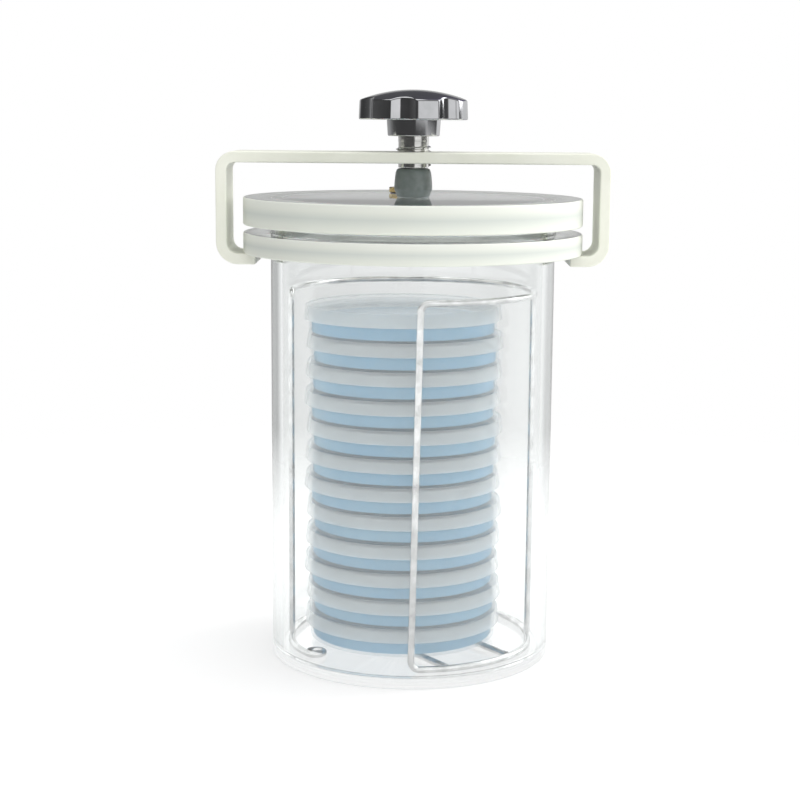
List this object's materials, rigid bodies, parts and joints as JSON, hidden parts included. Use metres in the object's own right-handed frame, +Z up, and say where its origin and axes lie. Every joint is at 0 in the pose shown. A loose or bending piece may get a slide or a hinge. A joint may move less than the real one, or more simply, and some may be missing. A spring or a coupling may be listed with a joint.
{
  "type": "anaerobic jar",
  "caption": "Clear flanged cylinder jar with thick disc lid, bent cream clamp yoke and star-knob screw, holding a wire rack of stacked round culture dishes.",
  "frame": {"origin": "centre of the underside of the base plate, on the jar's axis", "axes": "+Z up along the jar's axis, +X towards the clamp's right arm, -Y towards the viewer in front"},
  "size_m": [0.1776, 0.155, 0.261],
  "materials": {
    "clear_acrylic": "polished, clear",
    "silicone_seal": "smooth, milky",
    "seal_rubber": "smooth",
    "vent_brass": "turned",
    "cream_powder_coat": "fine powder coat, satin",
    "plated_steel": "bright plated thread",
    "chrome_knob": "mirror plated",
    "grey_foot_plastic": "satin moulded",
    "spring_steel": "oiled",
    "stainless_wire": "drawn and polished",
    "clear_polystyrene": "moulded, clear",
    "blue_medium": "set gel, wet"
  },
  "bodies": {
    "jar": {"base_plate": "clear_acrylic", "jar_tube": "clear_acrylic", "flange_ring": "clear_acrylic"},
    "lid": {"lid_plate": "clear_acrylic", "lid_seal": "silicone_seal", "vent_washer": "seal_rubber", "vent_body": "vent_brass"},
    "vent": {"vent_screw": "vent_brass"},
    "clamp": {"clamp_yoke": "cream_powder_coat"},
    "foot": {"pressure_foot": "grey_foot_plastic", "foot_snap_ring": "spring_steel"},
    "screw": {"spindle": "plated_steel", "knob": "chrome_knob"},
    "rack": {"rack_spine_wire": "stainless_wire", "rack_arch_wire": "stainless_wire", "rack_cross_wires": "stainless_wire", "dish_base_01": "clear_polystyrene", "dish_medium_01": "blue_medium", "dish_lid_01": "clear_polystyrene", "dish_base_02": "clear_polystyrene", "dish_medium_02": "blue_medium", "dish_lid_02": "clear_polystyrene", "dish_base_03": "clear_polystyrene", "dish_medium_03": "blue_medium", "dish_lid_03": "clear_polystyrene", "dish_base_04": "clear_polystyrene", "dish_medium_04": "blue_medium", "dish_lid_04": "clear_polystyrene", "dish_base_05": "clear_polystyrene", "dish_medium_05": "blue_medium", "dish_lid_05": "clear_polystyrene", "dish_base_06": "clear_polystyrene", "dish_medium_06": "blue_medium", "dish_lid_06": "clear_polystyrene", "dish_base_07": "clear_polystyrene", "dish_medium_07": "blue_medium", "dish_lid_07": "clear_polystyrene", "dish_base_08": "clear_polystyrene", "dish_medium_08": "blue_medium", "dish_lid_08": "clear_polystyrene", "dish_base_09": "clear_polystyrene", "dish_medium_09": "blue_medium", "dish_lid_09": "clear_polystyrene", "dish_base_10": "clear_polystyrene", "dish_medium_10": "blue_medium", "dish_lid_10": "clear_polystyrene", "dish_base_11": "clear_polystyrene", "dish_medium_11": "blue_medium", "dish_lid_11": "clear_polystyrene", "dish_base_12": "clear_polystyrene", "dish_medium_12": "blue_medium", "dish_lid_12": "clear_polystyrene"}
  },
  "joints": [
    {"name": "clamp_slide", "type": "slide", "parent": "jar", "child": "clamp", "axis": [0, -1, 0], "range_m": [0, 0.095]},
    {"name": "screw_travel", "type": "slide", "parent": "clamp", "child": "foot", "axis": [0, 0, 1], "range_m": [0, 0.0022]},
    {"name": "knob_turn", "type": "hinge", "parent": "foot", "child": "screw", "pos_m": [0, 0, 0.23], "axis": [0, 0, 1], "range_deg": [0, 396]},
    {"name": "lid_slide", "type": "slide", "parent": "jar", "child": "lid", "axis": [0, 1, 0], "range_m": [0, 0.15]},
    {"name": "vent_turn", "type": "hinge", "parent": "lid", "child": "vent", "pos_m": [-0.005, 0.044, 0.215], "axis": [0, 0, 1], "range_deg": [0, 720]},
    {"name": "rack_lift", "type": "slide", "parent": "jar", "child": "rack", "axis": [0, 0, 1], "range_m": [0, 0.025]}
  ],
  "couplings": [
    {"joint": "knob_turn", "follows": "screw_travel", "rad_per_m": 3141.6}
  ]
}
